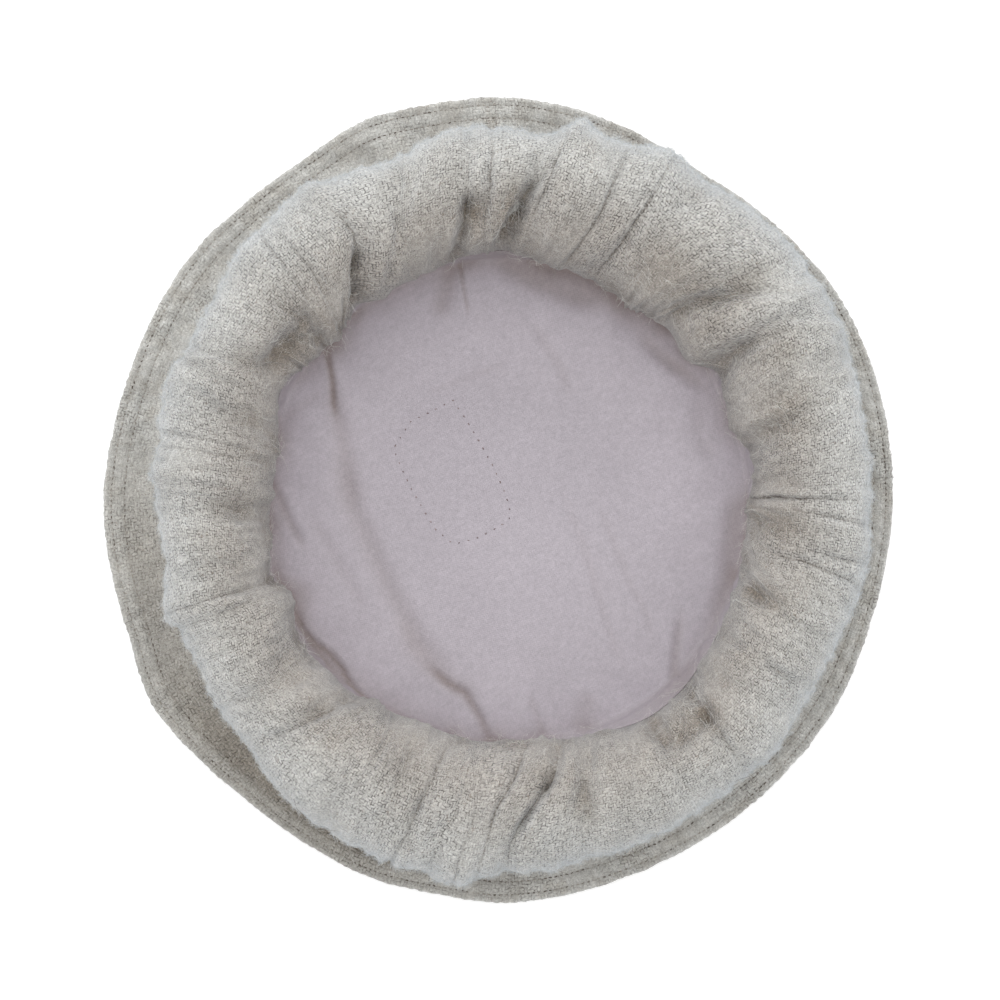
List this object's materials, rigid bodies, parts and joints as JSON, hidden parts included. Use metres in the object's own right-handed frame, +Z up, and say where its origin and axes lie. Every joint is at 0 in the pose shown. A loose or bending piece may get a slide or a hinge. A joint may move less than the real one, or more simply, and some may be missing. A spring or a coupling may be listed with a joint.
{
  "type": "pakol",
  "caption": "Flat-crowned wool hat with a thick rolled brim and a cotton lining, lying upside down with its mouth up.",
  "frame": {"origin": "on the surface that the hat lies on, under the middle of the crown", "axes": "+Z up out of the mouth, along the hat's shortest extent; +X and +Y lie in the crown's plane"},
  "size_m": [0.2899, 0.2956, 0.0659],
  "materials": {
    "crown_wool": "undyed wool twill, napped",
    "underside_wool": "undyed wool twill, lightly fulled",
    "brim_wool": "undyed wool twill, napped",
    "lining_cotton": "plain cotton weave, lilac grey"
  },
  "bodies": {
    "root": {"crown_top": "crown_wool", "crown_underside": "underside_wool", "rolled_brim": "brim_wool", "lining": "lining_cotton"}
  },
  "joints": []
}
